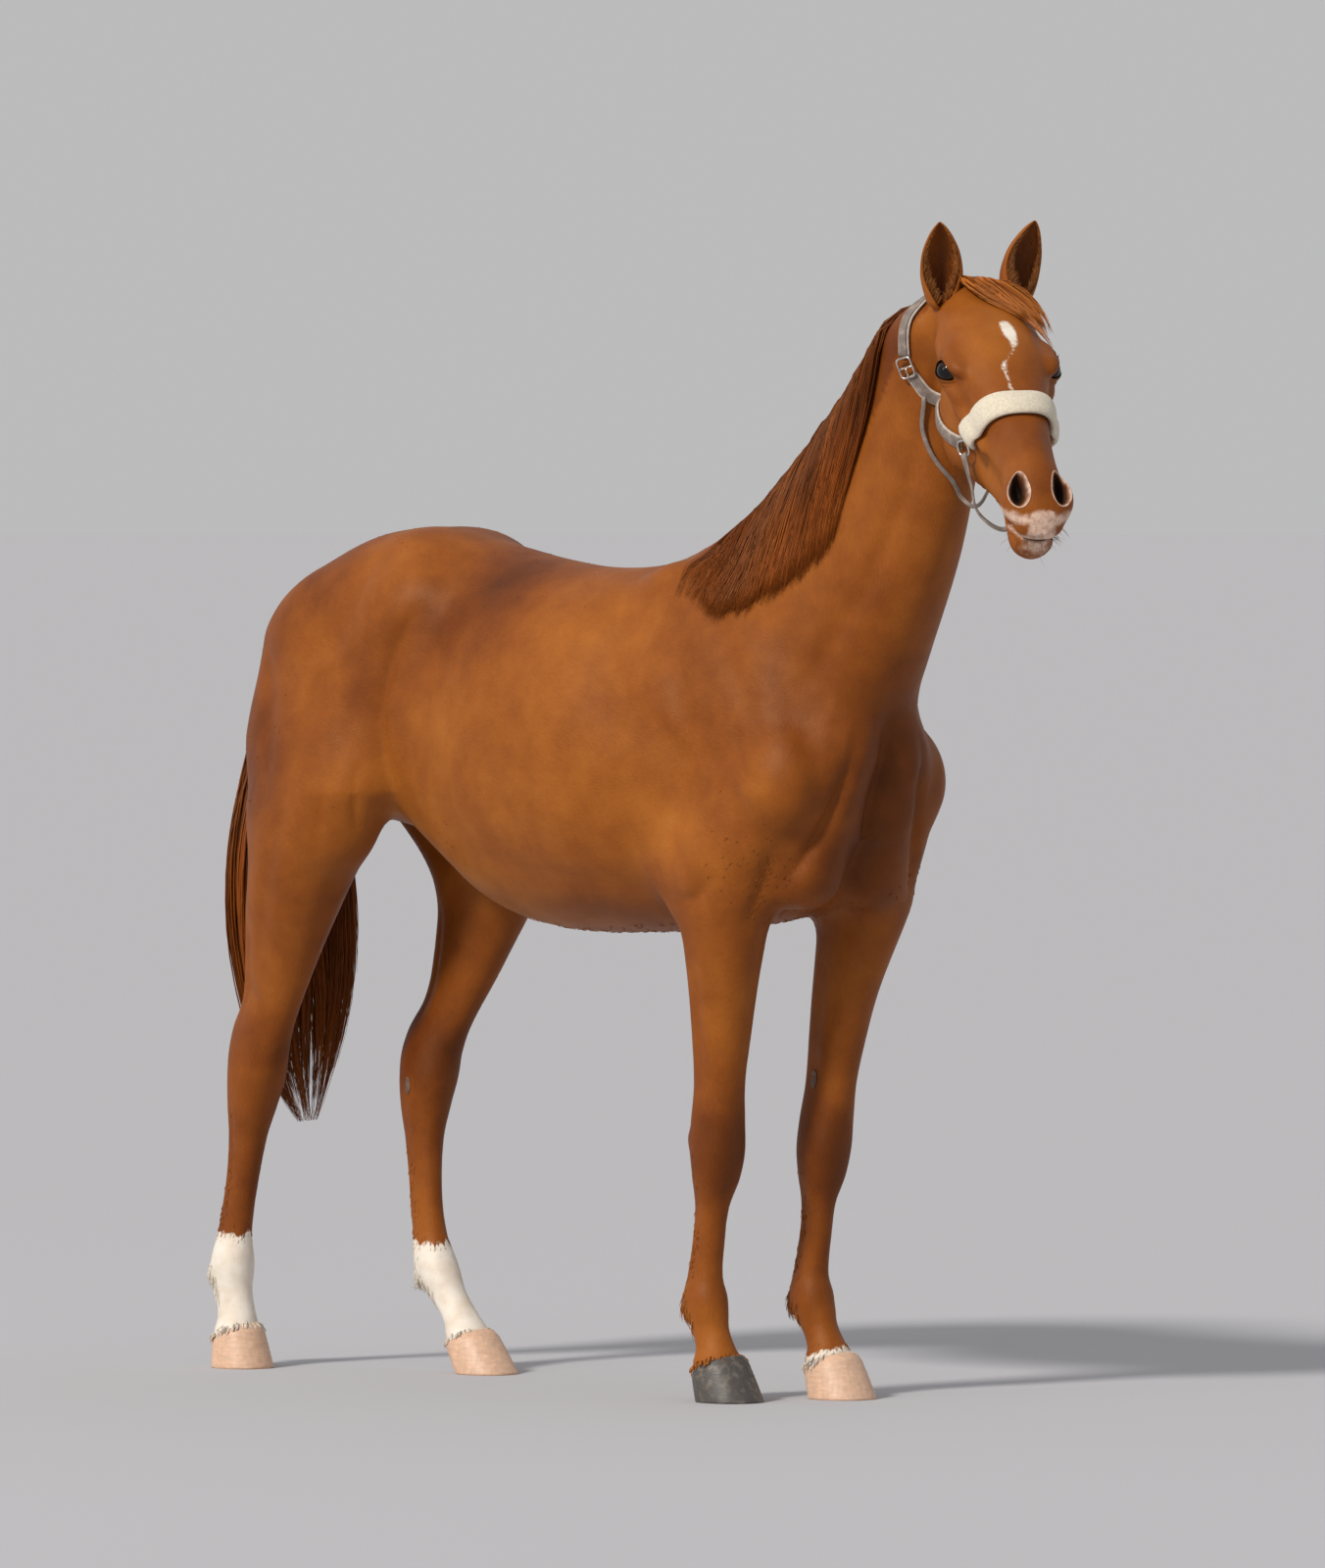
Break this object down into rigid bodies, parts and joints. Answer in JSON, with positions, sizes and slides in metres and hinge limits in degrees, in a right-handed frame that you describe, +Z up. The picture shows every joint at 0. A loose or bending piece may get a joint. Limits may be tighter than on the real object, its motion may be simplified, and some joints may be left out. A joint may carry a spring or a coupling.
{
  "type": "horse",
  "caption": "Life-size standing chestnut horse, head turned to its right, with mane, forelock and long tail, wearing a leather headcollar with a fleece noseband.",
  "frame": {"origin": "on the floor under the middle of the horse's overall length and width", "axes": "+X towards the chest and head, +Y to the horse's left, +Z up"},
  "size_m": [2.3862, 0.5655, 2.1091],
  "materials": {
    "coat": "short glossy chestnut hair on hide, with white socks on both hind legs",
    "ear": "short hair, darker inside",
    "hair": "long reddish hair",
    "eye": "wet dark brown",
    "dark_horn": "dark grey hoof horn",
    "pale_horn": "pale flesh-coloured hoof horn",
    "halter_leather": "worn grey-brown leather",
    "fleece": "cream fleece",
    "steel": "dull plated steel"
  },
  "bodies": {
    "root": {"trunk": "coat", "neck": "coat", "head": "coat", "eye_right": "eye", "ear_right": "ear", "eye_left": "eye", "ear_left": "ear", "fore_leg_right": "coat", "hoof_fore_right": "dark_horn", "fore_leg_left": "coat", "hoof_fore_left": "pale_horn", "hind_leg_right": "coat", "hoof_hind_right": "pale_horn", "hind_leg_left": "coat", "hoof_hind_left": "pale_horn", "mane": "hair", "forelock": "hair", "tail": "hair", "halter_crown_strap": "halter_leather", "halter_nose_sleeve": "fleece", "halter_chin_strap": "halter_leather", "halter_throat_strap": "halter_leather", "halter_cheek_strap_right": "halter_leather", "halter_nose_strap_right": "halter_leather", "halter_buckle_right": "steel", "halter_ring_right": "steel", "halter_cheek_strap_left": "halter_leather", "halter_nose_strap_left": "halter_leather", "halter_buckle_left": "steel", "halter_ring_left": "steel"}
  },
  "joints": []
}
